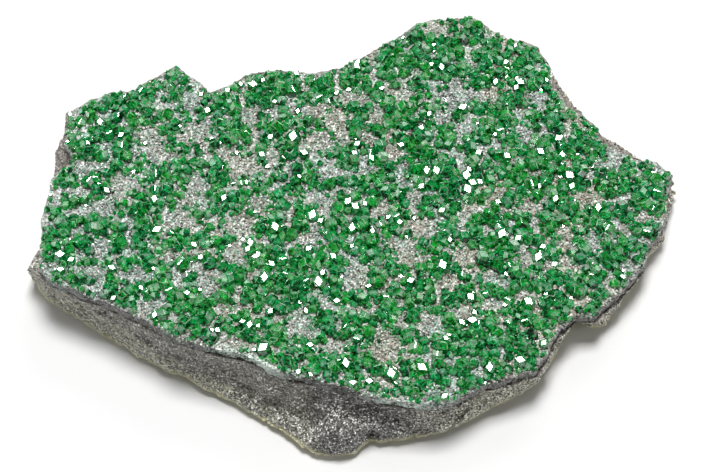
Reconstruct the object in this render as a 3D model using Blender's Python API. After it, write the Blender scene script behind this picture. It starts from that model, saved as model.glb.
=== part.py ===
"""Uvarovite garnet on chromite, a hand specimen lying flat.

A broken plate of granular chromite rock, 80 mm long, carries a druse on its upper side: a thin
sugary sheet of green garnet with larger rhombic dodecahedra grown into it. Metres, +Z up. The
origin is under the middle of the specimen, on the face that it rests on.
"""

import math
import random

import bmesh
import bpy
from mathutils import Matrix, Vector, noise
from mathutils.geometry import delaunay_2d_cdt

# Driving dimensions, in millimetres as the plate was measured, made metres by MM
MM = 0.001
DRUSE_TOP = 10.0
THINNING_START = -4.0
THINNING_RATE = 0.128
THINNING_MOST = 4.6
SHEET_THICKNESS = 1.1
SHEET_GAP = 0.3
DRUSE_SET_BACK = 0.25
BARE_RIM_TAPER = 0.8
RELIEF_ROUGHNESS = 0.22
UNDERSIDE_SPACING = 5.0
FACET_SPACING = 3.2
FACET_RELIEF = 0.38
WALL_ROUGHNESS = 0.55
WALL_BLOCK = 3.1
REST_INSET = 1.6
REST_UNDERCUT = 1.35

CRYSTAL_COUNT = 158
CRYSTAL_WIDTHS = (1.3, 2.2)
CRYSTAL_SEED = 7
CRYSTAL_LIFT = (0.02, 0.22)
CRYSTAL_EDGE_MARGIN = 0.35
CROWDED_SHARE = 0.35
CROWDED_SPACING = 0.62
FREE_SPACING = 1.2
CRYSTAL_TRIES = 40000

# Colours, linear RGB
CHROMITE_GREY = (0.060, 0.062, 0.068, 1.0)
GARNET_GREEN = (0.010, 0.170, 0.045, 1.0)

# Round the plate from its left back corner, as seen from above: the broken top edge (x, y), and the
# lower edge under it (x, y, z), which stays about a millimetre clear of the rest face all round.
EDGE = (
    (-36.3, 15.4, -36.4, 15.8, 1.6),
    (-34.0, 16.5, -34.5, 17.5, 1.6),
    (-31.0, 18.0, -31.5, 18.5, 1.6),
    (-28.0, 18.5, -28.0, 19.0, 1.6),
    (-25.0, 20.5, -25.0, 20.5, 1.5),
    (-22.5, 22.0, -22.5, 22.0, 1.5),
    (-20.5, 20.5, -20.5, 21.0, 1.5),
    (-18.0, 18.0, -18.5, 19.0, 1.5),
    (-16.0, 19.5, -16.0, 19.5, 1.0),
    (-13.0, 21.5, -13.0, 21.5, 1.0),
    (-9.5, 22.5, -9.5, 22.0, 1.0),
    (-5.5, 22.0, -5.5, 22.5, 1.0),
    (-2.0, 23.2, -2.0, 23.2, 1.0),
    (2.5, 25.6, 2.5, 25.1, 1.0),
    (5.5, 27.3, 6.0, 26.8, 1.0),
    (7.5, 29.5, 8.0, 28.5, 1.5),
    (11.1, 30.9, 11.1, 29.9, 1.5),
    (15.7, 31.3, 15.2, 30.3, 2.0),
    (18.7, 30.5, 18.2, 29.5, 2.0),
    (20.8, 29.2, 20.3, 28.2, 1.8),
    (23.8, 27.9, 23.3, 26.9, 1.8),
    (25.4, 25.5, 24.9, 24.5, 1.8),
    (26.9, 22.6, 26.4, 22.1, 1.8),
    (29.0, 19.7, 29.0, 19.2, 1.8),
    (31.6, 16.4, 31.6, 16.4, 1.8),
    (34.6, 13.9, 35.1, 13.9, 1.5),
    (38.2, 11.4, 38.7, 11.9, 1.5),
    (40.2, 8.8, 41.1, 9.1, 1.5),
    (39.7, 5.3, 40.1, 5.7, 1.3),
    (38.2, 1.2, 38.6, 1.7, 1.2),
    (36.7, -0.9, 36.9, -1.3, 1.4),
    (35.7, -4.4, 34.9, -4.3, 1.5),
    (33.6, -7.5, 32.9, -7.3, 1.3),
    (31.0, -9.6, 32.0, -9.5, 1.2),
    (29.5, -11.8, 30.0, -10.8, 1.4),
    (26.9, -11.9, 27.5, -10.1, 1.5),
    (24.9, -14.6, 25.4, -13.1, 1.3),
    (23.3, -17.2, 23.8, -15.8, 1.2),
    (21.8, -19.4, 21.8, -18.7, 1.4),
    (18.7, -20.6, 18.7, -20.9, 1.2),
    (15.7, -21.8, 15.1, -22.8, 1.0),
    (12.1, -24.0, 12.1, -24.0, 0.9),
    (9.1, -24.7, 8.5, -25.5, 1.1),
    (5.5, -24.4, 5.0, -26.2, 1.2),
    (2.0, -24.1, 2.0, -26.2, 1.0),
    (-1.5, -23.3, -1.5, -27.7, 0.9),
    (-5.0, -22.5, -4.5, -27.8, 1.1),
    (-8.5, -21.5, -8.0, -25.3, 1.2),
    (-11.0, -20.0, -11.0, -23.2, 1.0),
    (-14.5, -19.0, -14.0, -21.2, 0.9),
    (-18.0, -18.0, -18.0, -19.1, 1.1),
    (-21.0, -17.0, -21.5, -17.6, 1.2),
    (-24.0, -15.0, -25.0, -15.5, 1.0),
    (-27.0, -13.5, -28.0, -13.9, 0.9),
    (-30.5, -11.5, -31.0, -11.9, 1.1),
    (-34.0, -10.0, -34.6, -9.1, 1.2),
    (-36.5, -9.0, -37.7, -6.7, 1.0),
    (-38.2, -6.8, -40.3, -4.1, 1.4),
    (-38.4, -3.0, -39.2, -1.1, 1.4),
    (-38.1, 1.0, -38.4, 2.4, 1.4),
    (-37.6, 5.0, -37.8, 6.1, 1.4),
    (-37.2, 8.8, -37.2, 10.0, 1.4),
    (-36.7, 12.4, -36.7, 13.6, 1.4),
)

# Strips of the top edge that the druse leaves bare: first and last place in EDGE, and their width
BARE_RIMS = ((10, 12, 0.8), (18, 19, 0.9), (22, 23, 1.1), (24.5, 25.5, 1.2), (61, 61, 2.2))

# Low swells and dips of the druse: middle (x, y), radius, height
SWELLS = (
    (-21.0, 13.0, 11.0, 0.7),
    (12.0, 21.0, 10.0, 0.6),
    (-3.0, 4.0, 12.0, -0.6),
    (22.0, -6.0, 12.0, 0.5),
    (-12.0, -12.0, 10.0, 0.4),
    (33.0, 7.0, 8.0, -0.9),
    (-33.0, -5.0, 7.0, -0.6),
)

# Patches of fine sugary druse where no large crystal stands: middle (x, y), half sizes along x and y
BARE_PATCHES = (
    (-20.5, 17.0, 1.5, 1.5),
    (-19.5, 12.0, 2.5, 2.0),
    (-25.5, 11.5, 1.5, 1.5),
    (-24.5, 9.0, 2.0, 2.0),
    (-33.0, 7.0, 2.0, 1.0),
    (-28.0, 4.5, 2.0, 1.5),
    (-34.0, 3.5, 1.5, 1.0),
    (-13.5, 7.0, 2.5, 2.0),
    (-16.0, 9.0, 1.5, 1.0),
    (-19.5, 4.5, 1.5, 1.5),
    (-20.0, 2.5, 1.0, 1.5),
    (-21.5, -0.5, 2.5, 1.5),
    (-14.0, -1.0, 2.5, 2.0),
    (-11.5, 2.0, 1.5, 1.5),
    (-10.0, 8.5, 1.0, 2.0),
    (-13.0, 14.5, 1.0, 1.5),
    (-30.5, 1.5, 2.0, 1.5),
    (10.6, 28.8, 2.0, 1.5),
    (-0.5, 17.8, 2.5, 1.0),
    (-5.0, 15.0, 2.5, 1.0),
    (-2.0, 13.7, 1.5, 3.0),
    (-4.5, 11.0, 2.0, 1.5),
    (1.5, 11.9, 1.0, 1.5),
    (3.0, 15.1, 1.0, 1.5),
    (6.0, 18.8, 2.5, 1.0),
    (12.6, 18.4, 2.5, 1.5),
    (11.1, 15.2, 1.5, 1.0),
    (-3.0, 7.1, 2.0, 1.0),
    (5.0, 10.2, 1.0, 1.5),
    (2.5, 7.5, 1.5, 0.5),
    (-10.0, 15.0, 1.0, 1.5),
    (18.2, 30.0, 1.5, 1.5),
    (13.1, 19.9, 1.0, 1.5),
    (17.2, 19.3, 2.0, 1.0),
    (23.3, 19.3, 1.5, 1.5),
    (21.3, 14.5, 1.0, 1.5),
    (13.6, 13.9, 1.5, 1.0),
    (32.1, 10.8, 2.0, 1.0),
    (29.5, 5.5, 2.5, 1.0),
    (14.1, 2.4, 1.5, 1.0),
    (21.8, 3.4, 2.0, 1.0),
    (36.2, 2.7, 1.5, 1.0),
    (33.6, 1.2, 1.0, 1.5),
    (25.9, -0.3, 1.0, 1.5),
    (13.1, -4.3, 1.5, 1.5),
    (20.8, -4.2, 1.0, 1.5),
    (11.6, -7.9, 1.0, 1.5),
    (16.7, -7.0, 1.5, 1.0),
    (16.7, -10.6, 1.5, 1.0),
    (13.1, -12.3, 2.0, 1.0),
    (-4.5, 3.0, 2.5, 1.5),
    (6.0, 6.8, 1.0, 2.0),
    (3.5, 2.1, 1.0, 1.5),
    (7.5, 3.4, 1.0, 1.5),
    (8.6, -0.6, 2.0, 1.5),
    (5.5, -2.8, 2.0, 1.0),
    (-5.0, -3.0, 1.5, 1.5),
    (-14.5, -5.5, 2.0, 1.5),
    (-17.5, -9.5, 1.5, 1.5),
    (0.0, -8.2, 1.5, 2.0),
    (6.5, -4.7, 1.5, 1.5),
    (-6.5, -15.0, 2.0, 2.0),
    (9.1, -14.1, 2.0, 1.5),
    (-15.5, -13.0, 1.5, 1.0),
    (-32.0, -7.0, 2.5, 1.0),
    (-30.5, -4.0, 1.0, 1.5),
    (-26.5, -8.0, 2.0, 1.0),
    (-22.0, -5.5, 1.5, 1.0),
    (-24.5, -12.5, 1.5, 1.0),
    (-14.5, -17.5, 2.5, 1.0),
    (-37.0, -8.0, 1.0, 1.5),
    (4.0, -17.5, 2.0, 2.5),
)

OUTLINE_X = [row[0] for row in EDGE] + [row[2] for row in EDGE]
OUTLINE_Y = [row[1] for row in EDGE] + [row[3] for row in EDGE]
MIDDLE = Vector(
    ((min(OUTLINE_X) + max(OUTLINE_X)) / 2, (min(OUTLINE_Y) + max(OUTLINE_Y)) / 2)
)


def druse_height(x, y):
    """Height of the druse's sheet above the rest face. It falls towards the thinner right end, and has
    low swells and a fine unevenness."""
    height = DRUSE_TOP - min(THINNING_MOST, max(0.0, x - THINNING_START) * THINNING_RATE)
    for swell_x, swell_y, radius, lift in SWELLS:
        distance = math.hypot(x - swell_x, y - swell_y)
        height += lift * math.exp(-((distance / radius) ** 2))
    return height + RELIEF_ROUGHNESS * noise.noise(Vector((x / 5.0, y / 5.0, 0.3)))


def edge_rows():
    """EDGE from the middle of the plate, with one more row halfway along each span."""
    rows = []
    for number, row in enumerate(EDGE):
        after = EDGE[(number + 1) % len(EDGE)]
        for share in (0.0, 0.5):
            top_x, top_y, foot_x, foot_y, foot_z = (
                here + (there - here) * share for here, there in zip(row, after)
            )
            top = Vector((top_x, top_y)) - MIDDLE
            foot = Vector((foot_x, foot_y)) - MIDDLE
            rows.append((top, foot, foot_z))
    return rows


def outward(loop, number):
    """The direction out of a loop that runs clockwise as seen from above."""
    along = loop[(number + 1) % len(loop)] - loop[number - 1]
    return Vector((-along.y, along.x)).normalized()


def broken(x, y, z, size):
    """A number from -1 to 1 that jumps between blocks of the given size, as broken rock does."""
    place = Vector((x / size + 31.0, y / size + 57.0, z / size))
    return 0.6 * (2.0 * noise.cell(place) - 1.0) + 0.8 * noise.noise(place * 1.7)


def druse_outline(rim):
    """The druse's own edge: the rock's top edge, set back a little, and more along the bare strips."""
    outline = []
    for number, place in enumerate(rim):
        set_back = DRUSE_SET_BACK
        for first, last, width in BARE_RIMS:
            past_end = max(first - number / 2, number / 2 - last, 0.0)
            set_back += width * max(0.0, 1.0 - past_end / BARE_RIM_TAPER)
        outline.append(place - outward(rim, number) * set_back)
    return outline


def inside(outline, point):
    """Whether a point lies inside an outline."""
    found = False
    for a, b in zip(outline, outline[1:] + outline[:1]):
        if (a.y > point.y) != (b.y > point.y):
            if point.x < a.x + (point.y - a.y) * (b.x - a.x) / (b.y - a.y):
                found = not found
    return found


def edge_distance(outline, point):
    """How far a point is from an outline."""
    nearest = math.inf
    for a, b in zip(outline, outline[1:] + outline[:1]):
        along = b - a
        share = max(0.0, min(1.0, (point - a).dot(along) / along.length_squared))
        nearest = min(nearest, (point - a - along * share).length)
    return nearest


def scattered_points(outline, spacing):
    """Uneven points over the inside of the druse, about one spacing apart, in staggered rows."""
    chance = random.Random(3)
    reach = math.ceil(45.0 / spacing)
    points = []
    for row in range(-reach, reach + 1):
        for column in range(-reach, reach + 1):
            place = Vector((column + row % 2 / 2, row * math.sqrt(0.75))) * spacing
            place += Vector((chance.uniform(-1, 1), chance.uniform(-1, 1))) * spacing * 0.28
            if inside(outline, place) and edge_distance(outline, place) > spacing * 0.4:
                points.append(place)
    return points


def triangles_within(loops, points):
    """Triangles that fill the first loop, with the edges of every loop kept."""
    corners = [corner for loop in loops for corner in loop] + points
    edges = []
    start = 0
    for loop in loops:
        size = len(loop)
        edges += [(start + i, start + (i + 1) % size) for i in range(size)]
        start += size
    outer = list(range(len(loops[0])))[::-1]
    found = delaunay_2d_cdt(corners, edges, [outer], 1, 1e-5)
    return corners, found[2]


def object_from(bm, name, collection):
    """A named object from a bmesh in millimetres, its mesh in metres."""
    bmesh.ops.scale(bm, vec=(MM, MM, MM), verts=bm.verts)
    bmesh.ops.recalc_face_normals(bm, faces=bm.faces)
    mesh = bpy.data.meshes.new(name)
    bm.to_mesh(mesh)
    bm.free()
    obj = bpy.data.objects.new(name, mesh)
    collection.objects.link(obj)
    return obj


def rock_material(name, colour, roughness):
    """A plain material of one colour."""
    material = bpy.data.materials.new(name)
    material.use_nodes = True
    shader = material.node_tree.nodes["Principled BSDF"]
    shader.inputs["Base Color"].default_value = colour
    shader.inputs["Roughness"].default_value = roughness
    return material


def druse_height_here(point):
    """The druse's height over a point measured from the middle of the plate."""
    return druse_height(point.x + MIDDLE.x, point.y + MIDDLE.y)


def wall_rings(rows):
    """The rings of the broken wall, from the lower edge up to the top edge."""
    rings = [[] for _ in range(6)]
    for number, (top, foot, foot_z) in enumerate(rows):
        top_z = druse_height_here(top) - SHEET_THICKNESS - SHEET_GAP
        ledge = 0.45 + 0.15 * noise.noise(Vector((top.x / 9.0, top.y / 9.0, 4.0)))
        if foot.y < 0.0 and foot.x < -4.0:
            ledge = 0.12 + 0.6 * min(1.0, (-foot.x - 4.0) / 32.0)
        heights = (0.0, 0.5 * ledge, ledge, ledge + 0.07, 0.55 + 0.5 * ledge, 1.0)
        inward = (0.0, 0.08, 0.22, 0.62, 0.82, 1.0)
        rough = (0.5, 0.9, 1.0, 0.7, 1.0, 0.3)
        for level, ring in enumerate(rings):
            height = min(heights[level], 1.0)
            z = foot_z + (top_z - foot_z) * height
            place = foot.lerp(top, inward[level])
            push = WALL_ROUGHNESS * rough[level] * broken(place.x, place.y, z, WALL_BLOCK)
            ring.append((place, push, z))
    solid_rings = []
    for ring in rings:
        loop = [place for place, push, z in ring]
        moved = []
        for number, (place, push, z) in enumerate(ring):
            moved.append((place + outward(loop, number) * push).to_3d() + Vector((0, 0, z)))
        solid_rings.append(moved)
    return solid_rings


def rest_ring(foot_ring):
    """The edge of the flat face underneath, drawn in from the lower edge towards a line along the plate."""
    spine_start = Vector((-22.0, -1.0))
    spine = Vector((20.0, 3.0)) - spine_start
    ring = []
    for foot in foot_ring:
        flat = foot.to_2d()
        share = max(0.0, min(1.0, (flat - spine_start).dot(spine) / spine.length_squared))
        inward = spine_start + spine * share - flat
        set_in = REST_INSET + REST_UNDERCUT * foot.z
        ring.append((flat + inward.normalized() * set_in).to_3d())
    return ring


def chromite_matrix(rings, druse_edge, points, collection):
    """The rock plate: a flat rest face, an underside that rises to the lower edge, a broken wall with
    a ledge, and an uneven top that the druse grew on."""
    bm = bmesh.new()
    loops = [[bm.verts.new(place) for place in ring] for ring in rings]
    bm.faces.new(loops[0])
    for lower, upper in zip(loops, loops[1:]):
        for i in range(len(lower)):
            j = (i + 1) % len(lower)
            bm.faces.new((lower[i], lower[j], upper[j], upper[i]))
    rim = [place.to_2d() for place in rings[-1]]
    corners, triangles = triangles_within([rim, druse_edge], points)
    top_verts = list(loops[-1])
    for corner in corners[len(rim):]:
        z = druse_height_here(corner) - SHEET_THICKNESS - SHEET_GAP
        top_verts.append(bm.verts.new((corner.x, corner.y, z)))
    for triangle in triangles:
        bm.faces.new([top_verts[i] for i in triangle])
    bmesh.ops.triangulate(bm, faces=bm.faces)
    return object_from(bm, "chromite_matrix", collection)


def druse_sheet(druse_edge, underside_points, collection):
    """The sheet that all the crystals stand in: a facetted upper side, an underside that follows the
    rock, and a thin edge between them."""
    chance = random.Random(5)
    bm = bmesh.new()
    rims = []
    sides = ((scattered_points(druse_edge, FACET_SPACING), 0.0, FACET_RELIEF),
             (underside_points, SHEET_THICKNESS, 0.0))
    for points, depth, relief in sides:
        corners, triangles = triangles_within([druse_edge], points)
        verts = []
        for number, corner in enumerate(corners):
            z = druse_height_here(corner) - depth
            if number >= len(druse_edge):
                z += relief * chance.uniform(-1.0, 1.0)
            verts.append(bm.verts.new((corner.x, corner.y, z)))
        for triangle in triangles:
            bm.faces.new([verts[i] for i in triangle])
        rims.append(verts[:len(druse_edge)])
    upper, lower = rims
    for i in range(len(druse_edge)):
        j = (i + 1) % len(druse_edge)
        bm.faces.new((upper[i], upper[j], lower[j], lower[i]))
    return object_from(bm, "uvarovite_druse", collection)


def crystal_places(druse_edge):
    """Where the large crystals stand: (place, width), spread by chance, thick or thin by patches."""
    chance = random.Random(CRYSTAL_SEED)
    places = []
    for _ in range(CRYSTAL_TRIES):
        if len(places) == CRYSTAL_COUNT:
            break
        place = Vector((chance.uniform(-40.5, 40.5), chance.uniform(-29.0, 29.0)))
        narrow, wide = CRYSTAL_WIDTHS
        width = narrow + (wide - narrow) * chance.random() ** 1.6
        if not inside(druse_edge, place):
            continue
        if edge_distance(druse_edge, place) < width / 2 + CRYSTAL_EDGE_MARGIN:
            continue
        if bare(place):
            continue
        spacing = CROWDED_SPACING if chance.random() < CROWDED_SHARE else FREE_SPACING
        if any((place - other).length < (width + size) / 2 * spacing for other, size in places):
            continue
        places.append((place, width))
    return places


def bare(place):
    """Whether a place is in one of the patches with no large crystals."""
    for x, y, half_x, half_y in BARE_PATCHES:
        across = (place.x + MIDDLE.x - x) / half_x
        along = (place.y + MIDDLE.y - y) / half_y
        if math.hypot(across, along) < 1.0:
            return True
    return False


def rhombic_dodecahedron():
    """A garnet crystal 1 across its flat faces: a cube with a low pyramid raised on every side, whose
    neighbouring slopes meet in one plane, and become one rhomb when their shared edge is dissolved."""
    bm = bmesh.new()
    half = 1.0 / math.sqrt(8.0)
    bmesh.ops.create_cube(bm, size=2.0 * half)
    bmesh.ops.poke(bm, faces=bm.faces, offset=half)
    cube_edges = [edge for edge in bm.edges if abs(edge.calc_length() - 2.0 * half) < 1e-4]
    bmesh.ops.dissolve_edges(bm, edges=cube_edges)
    mesh = bpy.data.meshes.new("rhombic_dodecahedron")
    bm.to_mesh(mesh)
    bm.free()
    return mesh


def crystals(places, collection):
    """All the large crystals as one cutter, each turned its own way and sunk a little in the sheet."""
    chance = random.Random(CRYSTAL_SEED + 1)
    pattern = rhombic_dodecahedron()
    bm = bmesh.new()
    for place, width in places:
        before = len(bm.verts)
        bm.from_mesh(pattern)
        bm.verts.ensure_lookup_table()
        new = bm.verts[before:]
        lift = width * chance.uniform(*CRYSTAL_LIFT)
        turn = Vector([chance.gauss(0.0, 1.0) for _ in range(3)]).normalized()
        bmesh.ops.scale(bm, vec=(width, width, width), verts=new)
        spin = Matrix.Rotation(chance.uniform(-math.pi, math.pi), 4, turn)
        bmesh.ops.transform(bm, matrix=spin, verts=new)
        centre = (place.x, place.y, druse_height_here(place) + lift)
        bmesh.ops.translate(bm, vec=centre, verts=new)
    bpy.data.meshes.remove(pattern)
    return object_from(bm, "crystals", collection)


def new_collection(name):
    """A collection in the scene."""
    collection = bpy.data.collections.new(name)
    bpy.context.scene.collection.children.link(collection)
    return collection


def main():
    for old in list(bpy.data.objects):
        bpy.data.objects.remove(old, do_unlink=True)
    parts = new_collection("uvarovite_garnet")
    cutters = new_collection("crystal_cutters")

    rings = wall_rings(edge_rows())
    rings.insert(0, rest_ring(rings[0]))
    druse_edge = druse_outline([place.to_2d() for place in rings[-1]])
    points = scattered_points(druse_edge, UNDERSIDE_SPACING)

    matrix = chromite_matrix(rings, druse_edge, points, parts)
    matrix.data.materials.append(rock_material("chromite", CHROMITE_GREY, 0.8))

    druse = druse_sheet(druse_edge, points, parts)
    druse.data.materials.append(rock_material("uvarovite", GARNET_GREEN, 0.25))

    grown = crystals(crystal_places(druse_edge), cutters)
    grown.hide_render = True
    grown.display_type = "WIRE"
    union = druse.modifiers.new("crystals", "BOOLEAN")
    union.operation = "UNION"
    union.solver = "EXACT"
    union.use_self = True
    union.object = grown


main()
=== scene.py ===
import math

import bpy
import numpy as np
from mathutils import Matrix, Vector, noise
from mathutils.bvhtree import BVHTree
from mathutils.kdtree import KDTree


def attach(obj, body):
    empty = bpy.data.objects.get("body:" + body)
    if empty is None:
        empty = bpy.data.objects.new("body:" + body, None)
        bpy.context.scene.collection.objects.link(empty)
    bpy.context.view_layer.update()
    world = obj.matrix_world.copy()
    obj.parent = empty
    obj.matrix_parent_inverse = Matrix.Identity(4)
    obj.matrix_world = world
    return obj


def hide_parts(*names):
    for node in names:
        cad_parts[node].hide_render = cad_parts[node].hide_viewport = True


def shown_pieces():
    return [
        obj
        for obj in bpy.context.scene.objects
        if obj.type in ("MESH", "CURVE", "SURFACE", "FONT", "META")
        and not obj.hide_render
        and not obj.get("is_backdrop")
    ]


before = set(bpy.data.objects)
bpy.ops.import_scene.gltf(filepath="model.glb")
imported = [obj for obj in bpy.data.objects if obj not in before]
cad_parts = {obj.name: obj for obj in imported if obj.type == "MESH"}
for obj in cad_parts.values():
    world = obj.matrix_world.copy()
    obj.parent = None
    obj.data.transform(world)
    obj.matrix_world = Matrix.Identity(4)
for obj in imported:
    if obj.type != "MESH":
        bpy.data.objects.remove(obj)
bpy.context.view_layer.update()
bpy.ops.object.select_all(action="DESELECT")

MM = 0.001


# THE TABLE AND THE LIGHT
# A mineral photographed on a white sheet. The camera stands 29 cm off, 60 degrees above the table, on
# a long lens. A softbox hangs nearly overhead, and dimmer cards behind and beside fill in the rest.
CAMERA_TARGET = Vector((-0.40, -1.75, 5.5)) * MM
CAMERA_DISTANCE = 291.0 * MM
CAMERA_ELEVATION = math.radians(60.0)

camera_back = Vector((0.0, -math.cos(CAMERA_ELEVATION), math.sin(CAMERA_ELEVATION)))
bpy.ops.object.camera_add(
    location=CAMERA_TARGET + camera_back * CAMERA_DISTANCE,
    rotation=(math.pi / 2 - CAMERA_ELEVATION, 0.0, 0.0),
)
camera = bpy.context.object
camera.data.lens = 120.0
camera.data.sensor_width = 36.0
camera.data.clip_start = 0.01
bpy.context.scene.camera = camera
bpy.context.scene.view_settings.view_transform = "Standard"


def linear(colour):
    """An sRGB hex colour as linear RGBA."""
    values = [int(colour[i:i + 2], 16) / 255 for i in (1, 3, 5)]
    return [v / 12.92 if v <= 0.04045 else ((v + 0.055) / 1.055) ** 2.4 for v in values] + [1.0]


def add_node(material, kind, settings=None, **sockets):
    """A node with its settings. A socket is given a value, or another node's output to be linked to.
    Its name is written with underscores, or as in0, in1 where a node has several of one name."""
    tree = material.node_tree
    node = tree.nodes.new(kind)
    for name, value in (settings or {}).items():
        setattr(node, name, value)
    for name, value in sockets.items():
        if name.startswith("in") and name[2:].isdigit():
            socket = node.inputs[int(name[2:])]
        else:
            socket = node.inputs[name.replace("_", " ")]
        if isinstance(value, bpy.types.NodeSocket):
            tree.links.new(value, socket)
        else:
            socket.default_value = value
    return node


def new_material(name):
    """A material with an empty node tree but for its output."""
    material = bpy.data.materials.new(name)
    material.use_nodes = True
    material.node_tree.nodes.clear()
    material.node_tree.nodes.new("ShaderNodeOutputMaterial")
    return material


def show_surface(material, **sockets):
    """A Principled shader with the sockets given, sent to the material's output."""
    shader = add_node(material, "ShaderNodeBsdfPrincipled", **sockets)
    output = material.node_tree.nodes["Material Output"]
    material.node_tree.links.new(shader.outputs["BSDF"], output.inputs["Surface"])


bpy.ops.mesh.primitive_plane_add(size=3.0)
table = bpy.context.object
table.name = "white_table"
paper = new_material("matt_white_paper")
show_surface(paper, Base_Color=linear("#DDDDDD"), Roughness=0.9, Specular_IOR_Level=0.2)
table.data.materials.append(paper)
table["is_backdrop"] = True


def softbox(name, way, side, radiance):
    """A square light 60 cm off that faces the table's middle, as bright as the radiance given."""
    way = Vector(way).normalized()
    bpy.ops.object.light_add(
        type="AREA", location=way * 0.60, rotation=way.to_track_quat("Z", "Y").to_euler(),
    )
    light = bpy.context.object
    light.name = name
    light.data.shape = "SQUARE"
    light.data.size = side
    light.data.energy = radiance * math.pi * side ** 2


softbox("overhead_softbox", (0.0, 0.14, 0.99), 0.18, 40.0)
softbox("back_card", (0.22, 0.72, 0.62), 0.32, 3.0)
softbox("left_card", (-0.92, 0.22, 0.32), 0.40, 2.6)
softbox("right_card", (0.90, -0.20, 0.34), 0.34, 2.2)

studio = bpy.data.worlds.new("dim_studio")
bpy.context.scene.world = studio
studio.use_nodes = True
studio.node_tree.nodes["Background"].inputs["Color"].default_value = (1.0, 1.0, 1.0, 1.0)
studio.node_tree.nodes["Background"].inputs["Strength"].default_value = 0.10


# THE CHROMITE MATRIX
# A broken plate of massive chromite, a black ore whose grains of about 0.2 mm give a dull metallic
# sparkle on every newly broken face, partly painted as near-white grains. The break is stepped along the front, and
# weathered olive lower down.
ROCK_VOXEL = 0.36 * MM


def working_copy(node, name):
    """A separate object from a CAD node, its doubled points merged, selected and active."""
    copy = bpy.data.objects.new(name, node.data.copy())
    bpy.context.collection.objects.link(copy)
    copy.data.materials.clear()
    bpy.ops.object.select_all(action="DESELECT")
    copy.select_set(True)
    bpy.context.view_layer.objects.active = copy
    bpy.ops.object.mode_set(mode="EDIT")
    bpy.ops.mesh.select_all(action="SELECT")
    bpy.ops.mesh.remove_doubles(threshold=1e-6)
    bpy.ops.object.mode_set(mode="OBJECT")
    return copy


def read_vectors(items, name):
    """One vector of every vertex or face as an array."""
    values = np.empty(len(items) * 3)
    items.foreach_get(name, values)
    return values.reshape(-1, 3)


def write_weights(obj, name, weights):
    """A number for every point, as an attribute that a material reads."""
    obj.data.attributes.new(name, "FLOAT", "POINT").data.foreach_set("value", weights)


def distances(places, chosen):
    """How far each place is from the nearest of the chosen ones."""
    tree = KDTree(len(places))
    for number in np.flatnonzero(chosen):
        tree.insert(places[number], number)
    tree.balance()
    return np.array([tree.find(place)[2] for place in places])


def roughen(obj, kind, scale, depth, share=None, **settings):
    """Pushes the surface in and out along its normals by a noise of one grain size, and applies it.
    The share, if given, is how much of the depth each point gets."""
    pattern = bpy.data.textures.new("broken", kind)
    pattern.noise_scale = scale
    for name, value in settings.items():
        setattr(pattern, name, value)
    push = obj.modifiers.new("broken", "DISPLACE")
    push.texture = pattern
    push.texture_coords = "LOCAL"
    push.strength = depth
    push.mid_level = 0.5
    if share is not None:
        group = obj.vertex_groups.new(name="share")
        for number, weight in enumerate(share):
            group.add([number], float(weight), "REPLACE")
        push.vertex_group = group.name
    bpy.ops.object.modifier_apply(modifier=push.name)
    obj.vertex_groups.clear()


def add_ramp(material, factor, stops, stepped=False):
    """A colour ramp over (position, hex colour) stops."""
    node = add_node(material, "ShaderNodeValToRGB", Fac=factor)
    ramp = node.color_ramp
    ramp.interpolation = "CONSTANT" if stepped else "LINEAR"
    while len(ramp.elements) < len(stops):
        ramp.elements.new(0.5)
    for element, (position, colour) in zip(ramp.elements, stops):
        element.position = position
        element.color = linear(colour)
    return node.outputs["Color"]


def add_mix(material, factor, first, second):
    """The first colour, going over to the second as the factor goes from 0 to 1."""
    mix = add_node(material, "ShaderNodeMix", {"data_type": "RGBA"}, in0=factor, in6=first, in7=second)
    return mix.outputs[2]


def add_math(material, operation, first, second=0.0):
    """The result of one sum, held between 0 and 1 where the operation's name is given with a bar."""
    held = operation.startswith("|")
    node = add_node(
        material, "ShaderNodeMath", {"operation": operation.strip("|"), "use_clamp": held}, in0=first, in1=second,
    )
    return node.outputs[0]


def add_grains(material, size):
    """Angular grains of one size: their random colour, and a normal that leans its own way on each."""
    where = add_node(material, "ShaderNodeTexCoord")
    grains = add_node(material, "ShaderNodeTexVoronoi", Vector=where.outputs["Object"], Scale=1 / size)
    tilt = add_node(
        material, "ShaderNodeVectorMath", {"operation": "SUBTRACT"}, in0=grains.outputs["Color"], in1=(0.5, 0.5, 0.5),
    )
    lean = add_node(material, "ShaderNodeVectorMath", {"operation": "SCALE"}, in0=tilt.outputs[0], Scale=0.9)
    facing = add_node(material, "ShaderNodeNewGeometry")
    turned = add_node(
        material, "ShaderNodeVectorMath", {"operation": "ADD"}, in0=facing.outputs["Normal"], in1=lean.outputs[0],
    )
    unit = add_node(material, "ShaderNodeVectorMath", {"operation": "NORMALIZE"}, in0=turned.outputs[0])
    parts = add_node(material, "ShaderNodeSeparateColor", Color=grains.outputs["Color"])
    return where.outputs["Object"], parts.outputs["Red"], unit.outputs[0]


rock = working_copy(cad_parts["chromite_matrix"], "chromite_rock")
rock.data.remesh_voxel_size = ROCK_VOXEL
bpy.ops.object.voxel_remesh()

places = read_vectors(rock.data.vertices, "co")
normals = read_vectors(rock.data.vertices, "normal")
# Where a painted highlight goes: a band along the lower edge near the underside, later painted pale as if lit by
# light thrown up from the table.
to_under = distances(places, (normals[:, 2] < -0.6) & (places[:, 2] < 2.6 * MM))
write_weights(rock, "lower_edge", np.clip(1.6 - to_under / (0.42 * MM), 0.0, 1.0))
top_height = 10.0 * MM - 0.128 * np.clip(places[:, 0] + 4.4 * MM, 0.0, 36.0 * MM)
write_weights(rock, "upper_side", np.clip((normals[:, 2] - 0.6) / 0.2, 0.0, 1.0) * (places[:, 2] > top_height - 2.8 * MM))

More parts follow.
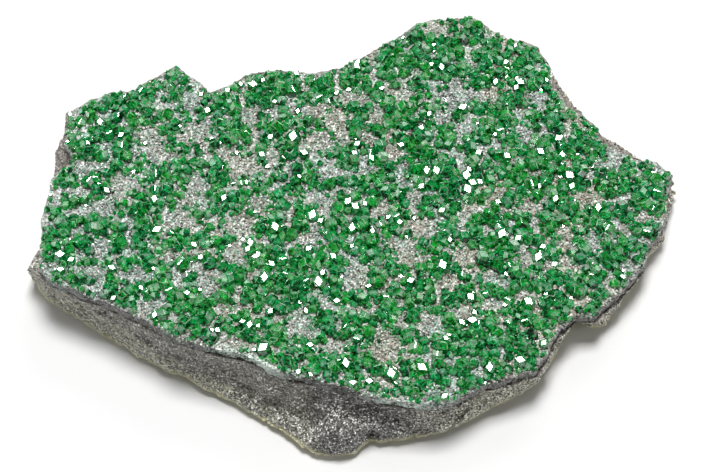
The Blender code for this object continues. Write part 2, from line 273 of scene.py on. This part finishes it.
off_rest = np.clip((places[:, 2] - 0.1 * MM) / (0.5 * MM), 0.0, 1.0)
roughen(rock, "VORONOI", 2.6 * MM, 0.50 * MM, off_rest, distance_metric="DISTANCE_SQUARED")
roughen(rock, "CLOUDS", 1.1 * MM, 0.35 * MM, off_rest, noise_depth=1)
roughen(rock, "CLOUDS", 0.45 * MM, 0.22 * MM, off_rest, noise_depth=0)

chromite = new_material("massive_chromite")
place, grain, leaning = add_grains(chromite, 0.17 * MM)
# The ore's own grain tones, with its palest grains near white as painted glints of the sparkle.
fresh_grains_and_glints = add_ramp(chromite, grain, (
    (0.0, "#2C2B2A"), (0.26, "#4C4B49"), (0.52, "#777672"), (0.77, "#ACABA6"), (0.93, "#F0F0EC"),
), stepped=True)
worn = add_ramp(chromite, grain, (
    (0.0, "#4A483E"), (0.22, "#828070"), (0.50, "#B2B09C"), (0.78, "#E2E0CE"), (0.92, "#FCFAEC"),
), stepped=True)
coordinates = add_node(chromite, "ShaderNodeSeparateXYZ", Vector=place)
along, across, up = (coordinates.outputs[i] for i in range(3))
cloud = add_node(chromite, "ShaderNodeTexNoise", Vector=place, Scale=1 / (3.0 * MM), Detail=2.0)
wander = add_math(chromite, "MULTIPLY", add_math(chromite, "SUBTRACT", cloud.outputs["Fac"], 0.5), 5.0 * MM)
leftward = add_math(chromite, "|DIVIDE|", add_math(chromite, "SUBTRACT", -4.0 * MM, along), 32.0 * MM)
ledge = add_math(chromite, "ADD", add_math(chromite, "MULTIPLY", leftward, 5.6 * MM), 1.0 * MM)
below = add_math(chromite, "SUBTRACT", add_math(chromite, "ADD", ledge, wander), up)
left_band = add_math(chromite, "|MULTIPLY|", below, 1 / (0.6 * MM))
is_left = add_math(chromite, "|MULTIPLY|", leftward, 14.0)
is_front = add_math(chromite, "|MULTIPLY|", across, -1 / (2.0 * MM))
left_band = add_math(chromite, "MULTIPLY", add_math(chromite, "MULTIPLY", left_band, is_left), is_front)
right_end = add_math(chromite, "SUBTRACT", add_math(chromite, "ADD", along, wander), 4.0 * MM)
right_end = add_math(chromite, "|MULTIPLY|", right_end, 1 / (9.0 * MM))
right_end = add_math(chromite, "MULTIPLY", right_end, 0.88)
lower_edge = add_node(chromite, "ShaderNodeAttribute", {"attribute_name": "lower_edge"})
layers = add_node(
    chromite, "ShaderNodeTexWave", {"bands_direction": "Z"}, Vector=place, Scale=0.314 / (1.3 * MM),
    Distortion=9.0, Detail=2.0, Detail_Scale=0.6,
)
layered = add_math(chromite, "|MULTIPLY|", add_math(chromite, "SUBTRACT", layers.outputs["Fac"], 0.12), 2.6)
paleness = add_math(chromite, "MULTIPLY", add_math(chromite, "MULTIPLY", is_left, is_front), 0.35)
left_band = add_math(chromite, "|ADD|", add_math(chromite, "MULTIPLY", left_band, layered), paleness)
colour = add_mix(chromite, left_band, fresh_grains_and_glints, worn)
colour = add_mix(chromite, right_end, colour, worn)
upper_side = add_node(chromite, "ShaderNodeAttribute", {"attribute_name": "upper_side"})
crusted = add_ramp(chromite, grain, ((0.0, "#4C4844"), (0.3, "#6E6963"), (0.7, "#968F87")), stepped=True)
colour = add_mix(chromite, upper_side.outputs["Fac"], colour, crusted)
# Painted highlight: along the front the lower edge is painted pale yellow-olive, for light thrown up from the table.
painted_bounce_line = add_math(chromite, "MULTIPLY", lower_edge.outputs["Fac"], is_front)
colour = add_mix(chromite, painted_bounce_line, colour, linear("#C4C098"))
show_surface(chromite, Base_Color=colour, Roughness=0.42, Normal=leaning)
rock.data.materials.append(chromite)
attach(rock, "root")
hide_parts("chromite_matrix")


# THE DRUSE'S SHEET
# The skin of garnet that every crystal stands in, about a millimetre thick. Its surface is sugary, grey
# with a warm tint, and its broken edge is a pale ragged rind along the front.
SHEET_LIFT = 1.4 * MM
SHEET_THICKNESS = 1.6 * MM
SHEET_VOXEL = 0.36 * MM
UP = Vector((0.0, 0.0, 1.0))

druse_tree = BVHTree.FromObject(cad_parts["uvarovite_druse"], bpy.context.evaluated_depsgraph_get())
sheet = working_copy(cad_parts["chromite_matrix"], "druse_sheet")
bpy.ops.object.mode_set(mode="EDIT")
bpy.ops.mesh.select_mode(type="FACE")
bpy.ops.mesh.select_all(action="DESELECT")
bpy.ops.object.mode_set(mode="OBJECT")
for face in sheet.data.polygons:
    covered = druse_tree.ray_cast(face.center + UP * 0.02 * MM, UP, 2.0 * MM)[0] is not None
    face.select = not (covered and face.normal.z > 0.5)
bpy.ops.object.mode_set(mode="EDIT")
bpy.ops.mesh.delete(type="FACE")
bpy.ops.mesh.select_all(action="SELECT")
bpy.ops.transform.translate(value=(0.0, 0.0, SHEET_LIFT))
bpy.ops.object.mode_set(mode="OBJECT")
thick = sheet.modifiers.new("thick", "SOLIDIFY")
thick.thickness = SHEET_THICKNESS
thick.offset = -1.0
bpy.ops.object.modifier_apply(modifier=thick.name)
sheet.data.remesh_voxel_size = SHEET_VOXEL
bpy.ops.object.voxel_remesh()
roughen(sheet, "CLOUDS", 4.5 * MM, 0.60 * MM, noise_depth=0)
roughen(sheet, "CLOUDS", 1.8 * MM, 0.50 * MM, noise_depth=1)
roughen(sheet, "CLOUDS", 0.6 * MM, 0.30 * MM, noise_depth=0)
places = read_vectors(sheet.data.vertices, "co")
normals = read_vectors(sheet.data.vertices, "normal")
is_back = (normals[:, 2] < 0.3) & (normals[:, 2] > -0.3) & (normals[:, 1] > -0.2)
write_weights(sheet, "back_rim", np.clip(1.6 - distances(places, is_back) / (0.35 * MM), 0.0, 1.0))
is_front = (normals[:, 2] < 0.3) & (normals[:, 2] > -0.3) & (normals[:, 1] < -0.4)
write_weights(sheet, "front_rim", np.clip(1.6 - distances(places, is_front) / (0.50 * MM), 0.0, 1.0))

sugar = new_material("sugary_garnet")
place, grain, leaning = add_grains(sugar, 0.18 * MM)
cool = add_ramp(sugar, grain, (
    (0.0, "#444A46"), (0.08, "#668672"), (0.22, "#9C8E8A"), (0.36, "#889690"), (0.50, "#AEACAC"), (0.64, "#92B8A2"),
    (0.78, "#C6CECA"), (0.92, "#FCFEFC"),
), stepped=True)
warm = add_ramp(sugar, grain, (
    (0.0, "#4E463E"), (0.08, "#6E7E68"), (0.22, "#A28E82"), (0.36, "#909488"), (0.50, "#B6AC9E"), (0.64, "#9CB49C"),
    (0.78, "#CCCABE"), (0.92, "#FCFAF4"),
), stepped=True)
cloud = add_node(sugar, "ShaderNodeTexNoise", Vector=place, Scale=1 / (8.0 * MM), Detail=2.0)
stain = add_ramp(sugar, cloud.outputs["Fac"], ((0.42, "#000000"), (0.58, "#FFFFFF")))
sideways = add_node(sugar, "ShaderNodeSeparateXYZ", Vector=place)
rightward = add_math(sugar, "|ADD|", add_math(sugar, "DIVIDE", sideways.outputs["X"], 80.0 * MM), 0.75)
colour = add_mix(sugar, add_math(sugar, "MULTIPLY", stain, rightward), cool, warm)
back_rim = add_node(sugar, "ShaderNodeAttribute", {"attribute_name": "back_rim"})
brown = add_ramp(sugar, grain, ((0.0, "#4A443C"), (0.4, "#6C655A"), (0.8, "#90887A")), stepped=True)
colour = add_mix(sugar, back_rim.outputs["Fac"], colour, brown)
front_rim = add_node(sugar, "ShaderNodeAttribute", {"attribute_name": "front_rim"})
rind = add_ramp(sugar, grain, ((0.0, "#8FA898"), (0.3, "#BCD0C2"), (0.6, "#E6F2EA")), stepped=True)
stretch = add_math(sugar, "DIVIDE", add_math(sugar, "ADD", sideways.outputs["X"], 42.0 * MM), 84.0 * MM)
stretch = add_ramp(sugar, stretch, (
    (0.08, "#808080"), (0.12, "#202020"), (0.28, "#202020"), (0.31, "#FFFFFF"), (0.37, "#FFFFFF"), (0.41, "#202020"),
    (0.50, "#202020"), (0.53, "#FFFFFF"), (0.58, "#FFFFFF"), (0.62, "#202020"),
))
bare_rock = add_ramp(sugar, grain, ((0.0, "#3A3937"), (0.35, "#5E5D5A"), (0.75, "#94938E")), stepped=True)
colour = add_mix(sugar, front_rim.outputs["Fac"], colour, add_mix(sugar, stretch, bare_rock, rind))
show_surface(sugar, Base_Color=colour, Roughness=0.30, Normal=leaning)
sheet.data.materials.append(sugar)
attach(sheet, "root")
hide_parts("uvarovite_druse")


# THE GARNETS
# Rhombic dodecahedra of emerald green uvarovite, 0.4 to 1.7 mm across, grown into the sheet and into
# each other at every angle. They are clear enough for light to come back out of them.
BARE_PATCHES = (
    (-20.5, 17.0, 1.5, 1.5), (-19.5, 12.0, 2.5, 2.0), (-25.5, 11.5, 1.5, 1.5), (-24.5, 9.0, 2.0, 2.0),
    (-27.0, 14.0, 0.5, 1.0), (-36.0, 8.5, 1.0, 1.0), (-33.0, 7.0, 2.0, 1.0), (-28.0, 4.5, 2.0, 1.5),
    (-34.0, 3.5, 1.5, 1.0), (-13.5, 7.0, 2.5, 2.0), (-16.0, 9.0, 1.5, 1.0), (-19.5, 4.5, 1.5, 1.5),
    (-20.0, 2.5, 1.0, 1.5), (-21.5, -0.5, 2.5, 1.5), (-14.0, -1.0, 2.5, 2.0), (-11.5, 2.0, 1.5, 1.5),
    (-10.0, 8.5, 1.0, 2.0), (-13.0, 14.5, 1.0, 1.5), (-30.5, 1.5, 2.0, 1.5), (-11.0, 15.5, 1.0, 0.5),
    (10.6, 28.8, 2.0, 1.5), (0.5, 23.9, 1.0, 0.5), (-0.5, 17.8, 2.5, 1.0), (-5.0, 15.0, 2.5, 1.0),
    (-2.0, 13.7, 1.5, 3.0), (-4.5, 11.0, 2.0, 1.5), (1.5, 11.9, 1.0, 1.5), (3.0, 15.1, 1.0, 1.5),
    (6.0, 18.8, 2.5, 1.0), (12.6, 18.4, 2.5, 1.5), (11.1, 15.2, 1.5, 1.0), (-3.0, 7.1, 2.0, 1.0),
    (5.0, 10.2, 1.0, 1.5), (2.5, 7.5, 1.5, 0.5), (13.1, 9.9, 1.0, 1.0), (-10.0, 15.0, 1.0, 1.5),
    (18.2, 30.0, 1.5, 1.5), (13.1, 19.9, 1.0, 1.5), (17.2, 19.3, 2.0, 1.0), (23.3, 19.3, 1.5, 1.5),
    (31.6, 14.9, 1.0, 1.0), (21.3, 14.5, 1.0, 1.5), (13.6, 13.9, 1.5, 1.0), (32.1, 10.8, 2.0, 1.0),
    (29.5, 5.5, 2.5, 1.0), (18.2, 5.2, 1.0, 1.0), (14.1, 2.4, 1.5, 1.0), (21.8, 3.4, 2.0, 1.0),
    (36.2, 2.7, 1.5, 1.0), (33.6, 1.2, 1.0, 1.5), (25.9, -0.3, 1.0, 1.5), (13.1, -4.3, 1.5, 1.5),
    (20.8, -4.2, 1.0, 1.5), (25.9, -3.9, 1.0, 1.0), (11.6, -7.9, 1.0, 1.5), (16.7, -7.0, 1.5, 1.0),
    (16.7, -10.6, 1.5, 1.0), (13.1, -12.3, 2.0, 1.0), (29.5, -1.6, 1.0, 1.0), (33.6, -4.4, 1.0, 1.0),
    (-4.5, 3.0, 2.5, 1.5), (6.0, 6.8, 1.0, 2.0), (-0.5, 4.3, 1.0, 0.5), (3.5, 2.1, 1.0, 1.5),
    (7.5, 3.4, 1.0, 1.5), (8.6, -0.6, 2.0, 1.5), (5.5, -2.8, 2.0, 1.0), (-5.0, -3.0, 1.5, 1.5),
    (-14.5, -5.5, 2.0, 1.5), (-12.0, -8.0, 1.0, 0.5), (-17.5, -9.5, 1.5, 1.5), (0.0, -8.2, 1.5, 2.0),
    (6.5, -4.7, 1.5, 1.5), (-6.5, -15.0, 2.0, 2.0), (-3.5, -12.0, 1.0, 1.0), (9.1, -14.1, 2.0, 1.5),
    (-15.5, -13.0, 1.5, 1.0), (-32.0, -7.0, 2.5, 1.0), (-30.5, -4.0, 1.0, 1.5), (-26.5, -8.0, 2.0, 1.0),
    (-22.0, -5.5, 1.5, 1.0), (-19.0, -7.0, 1.0, 1.0), (-24.5, -12.5, 1.5, 1.0), (-14.5, -17.5, 2.5, 1.0),
    (-37.0, -8.0, 1.0, 1.5), (-3.0, -17.9, 1.0, 1.0), (4.0, -17.5, 2.0, 2.5), (3.5, -22.5, 1.0, 1.0),
)
PATCH_MIDDLE = (0.40, 1.75)
GAP_LEVEL = 0.11
SIDES = ((1, 0), (0.7, 0.7), (0, 1), (-0.7, 0.7), (-1, 0), (-0.7, -0.7), (0, -1), (0.7, -0.7))
TRIES = 12

sheet_tree = BVHTree.FromObject(sheet, bpy.context.evaluated_depsgraph_get())
face_middles = read_vectors(sheet.data.polygons, "center") / MM
face_normals = read_vectors(sheet.data.polygons, "normal")
rock_top = 8.6 - 0.128 * np.clip(face_middles[:, 0] + 4.4, 0.0, 36.0)
outer = np.flatnonzero((face_normals[:, 2] > -0.2) & (face_middles[:, 2] > rock_top - 0.6))


def on_sheet(x, y):
    """Whether the sheet lies over or under a place in millimetres."""
    return sheet_tree.ray_cast(Vector((x, y, 30.0)) * MM, -UP, 40.0 * MM)[0] is not None


def bareness(x, y):
    """From 0 among the garnets to 1 and over in the middle of a sugary patch."""
    most = 0.0
    wobble = 0.45 * noise.noise(Vector((x * 0.9, y * 0.9, 1.0)))
    for patch_x, patch_y, half_x, half_y in BARE_PATCHES:
        away_x = (x + PATCH_MIDDLE[0] - patch_x) / half_x
        away_y = (y + PATCH_MIDDLE[1] - patch_y) / half_y
        if abs(away_x) < 2.0 and abs(away_y) < 2.0:
            most = max(most, 1.4 - math.hypot(away_x, away_y) + wobble)
    return most


def scatter(chance, sizes, closeness, most_bare, clearance, taken):
    """Places (x, y, z, size) for crystals, largest first, no two closer than they may grow."""
    found = []
    picks = iter(chance.choice(outer, TRIES * len(sizes)))
    for size in sorted(sizes, reverse=True):
        for _ in range(TRIES):
            face = next(picks)
            x, y, z = face_middles[face] + chance.uniform(-0.15, 0.15, 3)
            if face_normals[face][2] < 0.1 or bareness(x, y) > most_bare:
                continue
            if noise.noise(Vector((x / 1.5, y / 1.5, 4.0))) > GAP_LEVEL:
                continue
            cell = (int(x // 1.8), int(y // 1.8))
            near = [
                other for i in (-1, 0, 1) for j in (-1, 0, 1)
                for other in taken.get((cell[0] + i, cell[1] + j), ())
            ]
            if any(math.hypot(x - o[0], y - o[1]) < (size + o[2]) / 2 * closeness for o in near):
                continue
            if not all(on_sheet(x + i * size * clearance, y + j * size * clearance) for i, j in SIDES):
                continue
            taken.setdefault(cell, []).append((x, y, size))
            found.append((x, y, z, size))
            break
    return found


def random_turns(chance, count, level):
    """Evenly spread rotations as 3 by 3 matrices, from random unit quaternions. The first ones, as many
    as the share given as level, are turned on until one face lies nearly level, tipped to the front."""
    q = chance.normal(size=(count, 4))
    w, x, y, z = (q / np.linalg.norm(q, axis=1)[:, None]).T
    rows = np.array((
        (1 - 2 * (y * y + z * z), 2 * (x * y - z * w), 2 * (x * z + y * w)),
        (2 * (x * y + z * w), 1 - 2 * (x * x + z * z), 2 * (y * z - x * w)),
        (2 * (x * z - y * w), 2 * (y * z + x * w), 1 - 2 * (x * x + y * y)),
    ))
    turns = rows.transpose(2, 0, 1)
    facing = turns @ np.array((math.sqrt(0.5), math.sqrt(0.5), 0.0))
    wanted = np.array((0.0, -0.19, 0.98)) + chance.normal(0.0, 0.09, (count, 3))
    wanted /= np.linalg.norm(wanted, axis=1)[:, None]
    a, b, c = np.cross(facing, wanted).T
    none = np.zeros(count)
    swing = np.array(((none, -c, b), (c, none, -a), (-b, a, none))).transpose(2, 0, 1)
    closing = 1.0 + np.sum(facing * wanted, axis=1)
    turned = (np.eye(3) + swing + swing @ swing / closing[:, None, None]) @ turns
    return np.where((np.arange(count) < level * count)[:, None, None], turned, turns)


def joined_copies(name, pattern, chance, places, level=0.0):
    """One mesh object of a copy of the pattern at every place (x, y, z, size in millimetres), each
    turned its own way, with its own number from 0 to 1 in the attribute named shade."""
    points = read_vectors(pattern.data.vertices, "co")
    sides = [np.array(face.vertices) for face in pattern.data.polygons]
    places = np.array(places)
    count = len(places)
    turned = np.einsum("nij,kj->nki", random_turns(chance, count, level), points)
    spread = turned * places[:, None, 3:4] + places[:, None, :3]
    first = np.arange(count)[:, None] * len(points)
    corners = np.concatenate([(first + side[None, :]).ravel() for side in sides])
    lengths = np.concatenate([np.full(count, len(side)) for side in sides])
    mesh = bpy.data.meshes.new(name)
    mesh.vertices.add(count * len(points))
    mesh.vertices.foreach_set("co", (spread * MM).ravel())
    mesh.loops.add(len(corners))
    mesh.loops.foreach_set("vertex_index", corners)
    mesh.polygons.add(len(lengths))
    mesh.polygons.foreach_set("loop_start", np.concatenate([[0], np.cumsum(lengths)[:-1]]))
    mesh.update(calc_edges=True)
    mesh.shade_flat()
    top_view = mesh.uv_layers.new(name="OFBake")
    top_view.data.foreach_set("uv", ((spread[:, :, :2].reshape(-1, 2) + 42.0) / 84.0)[corners].ravel())
    obj = bpy.data.objects.new(name, mesh)
    bpy.context.collection.objects.link(obj)
    write_weights(obj, "shade", np.repeat(chance.random(count), len(points)))
    # Painted light and shade for the garnets' colour: each copy's upper points are marked lit and its foot shaded, by
    # how high they stand on it.
    write_weights(obj, "rise", np.clip(turned[:, :, 2] * 1.7 + 0.08, 0.0, 1.0).ravel())
    # A random number per face, for each face's own painted light or shade on the garnets.
    mesh.attributes.new("facet", "FLOAT", "FACE").data.foreach_set("value", chance.random(len(lengths)))
    return obj


def dodecahedron(name, bevel):
    """A garnet crystal 1 across its faces: a cube with a low pyramid raised on every side, whose
    neighbouring slopes become one rhomb. A bevel cuts the narrow faces that real ones have."""
    half = 1.0 / math.sqrt(8.0)
    bpy.ops.object.select_all(action="DESELECT")
    bpy.ops.mesh.primitive_cube_add(size=2.0 * half)
    crystal = bpy.context.object
    crystal.name = name
    bpy.ops.object.mode_set(mode="EDIT")
    bpy.ops.mesh.select_all(action="SELECT")
    bpy.ops.mesh.poke(offset=half)
    bpy.ops.mesh.select_all(action="DESELECT")
    bpy.ops.mesh.select_mode(type="EDGE")
    bpy.ops.object.mode_set(mode="OBJECT")
    places = read_vectors(crystal.data.vertices, "co")
    for edge in crystal.data.edges:
        a, b = edge.vertices
        edge.select = abs(np.linalg.norm(places[a] - places[b]) - 2.0 * half) < 1e-3
    bpy.ops.object.mode_set(mode="EDIT")
    bpy.ops.mesh.dissolve_edges(use_verts=False)
    if bevel:
        bpy.ops.mesh.select_all(action="SELECT")
        bpy.ops.mesh.bevel(offset=bevel, segments=1, affect="EDGES")
    bpy.ops.object.mode_set(mode="OBJECT")
    return crystal


chance = np.random.default_rng(11)
taken = {}
large = scatter(chance, 1.05 + 0.60 * chance.random(1300) ** 2.0, 0.74, 0.05, 0.82, taken)
medium = scatter(chance, 0.74 + 0.32 * chance.random(2400), 0.74, 0.2, 0.75, taken)
small = scatter(chance, 0.40 + 0.34 * chance.random(3600), 0.74, 0.6, 0.65, taken)


def lifted(places, low, high, level=0.0):
    """The places in a random order, each crystal's middle raised by a share of its size, and the first
    ones, which lie level, by the most, so that their upper face is free."""
    raised = chance.permutation(np.array(places))
    shares = chance.uniform(low, high, len(raised))
    raised[:, 2] += raised[:, 3] * np.where(np.arange(len(raised)) < level * len(raised), high + 0.06, shares)
    return raised


cut_crystal = dodecahedron("cut_crystal", 0.05)
plain_crystal = dodecahedron("plain_crystal", 0.0)
garnets = [
    joined_copies("garnets_large", cut_crystal, chance, lifted(large, -0.04, 0.22, 0.13), 0.13),
    joined_copies("garnets_medium", cut_crystal, chance, lifted(medium, -0.10, 0.18, 0.22), 0.22),
    joined_copies("garnets_small", plain_crystal, chance, lifted(small, -0.10, 0.20, 0.06), 0.06),
]

uvarovite = new_material("clear_uvarovite")
# The garnets' light and dark are mostly painted: how high a point stands on its crystal lights the top and shades the
# foot, a random number per face gives each face its own painted light or shade, and grains of 0.28 mm paint a mottle
# of inner light; only the per-crystal number is each crystal's own tone.
own = add_node(uvarovite, "ShaderNodeAttribute", {"attribute_name": "shade"})
facet = add_node(uvarovite, "ShaderNodeAttribute", {"attribute_name": "facet"})
place, painted_inner_light, leaning = add_grains(uvarovite, 0.28 * MM)
rise = add_node(uvarovite, "ShaderNodeAttribute", {"attribute_name": "rise"})
depth = add_math(uvarovite, "MULTIPLY", rise.outputs["Fac"], 0.20)
depth = add_math(uvarovite, "ADD", depth, add_math(uvarovite, "MULTIPLY", own.outputs["Fac"], 0.10))
depth = add_math(uvarovite, "ADD", depth, add_math(uvarovite, "MULTIPLY", facet.outputs["Fac"], 0.36))
depth = add_math(uvarovite, "ADD", depth, add_math(uvarovite, "MULTIPLY", painted_inner_light, 0.34))
# Both ramps run from painted shade, near black, to painted highlights of pale mint, with the crystals' own greens
# between.
bluish = add_ramp(uvarovite, depth, (
    (0.25, "#00120A"), (0.38, "#006430"), (0.50, "#00D060"), (0.62, "#18FF8C"), (0.74, "#C8FFE4"),
))
yellowish = add_ramp(uvarovite, depth, (
    (0.25, "#001403"), (0.38, "#006A18"), (0.50, "#00DC30"), (0.62, "#28FF54"), (0.74, "#D0FFD4"),
))
green = add_mix(uvarovite, own.outputs["Fac"], bluish, yellowish)
show_surface(uvarovite, Base_Color=green, Roughness=0.01, IOR=1.86, Transmission_Weight=0.80)
for piece in garnets:
    piece.data.materials.append(uvarovite)
    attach(piece, "root")


# THE SUGAR
# The youngest growth: grains of garnet a third of a millimetre across, crowded over the bare patches of the
# sheet and strewn more thinly elsewhere, each with flat faces that flash white or stay grey.
SUGAR_COUNT = 24000
bpy.ops.object.select_all(action="DESELECT")
bpy.ops.mesh.primitive_cube_add(size=1.0)
grain = bpy.context.object
grain.name = "grain"
places = []
for face in chance.choice(outer, 4 * SUGAR_COUNT):
    x, y, z = face_middles[face] + chance.uniform(-0.15, 0.15, 3)
    if not all(on_sheet(x + i * 0.4, y + j * 0.4) for i, j in SIDES[:5]):
        continue
    if bareness(x, y) > 0.2 or chance.random() < 0.45:
        places.append((x, y, z, chance.uniform(0.18, 0.30)))
    if len(places) == SUGAR_COUNT:
        break
half = len(places) // 2
for number, share in enumerate((places[:half], places[half:])):
    piece = joined_copies(f"sugar_{number}", grain, chance, share)
    piece.data.materials.append(sugar)
    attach(piece, "root")

for pattern in (cut_crystal, plain_crystal, grain):
    bpy.data.objects.remove(pattern)

print("COUNTS", len(large), len(medium), len(small), len(places))
triangles = {o.name: sum(len(p.vertices) - 2 for p in o.data.polygons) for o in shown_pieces()}
print("TRIANGLES", triangles, sum(triangles.values()))
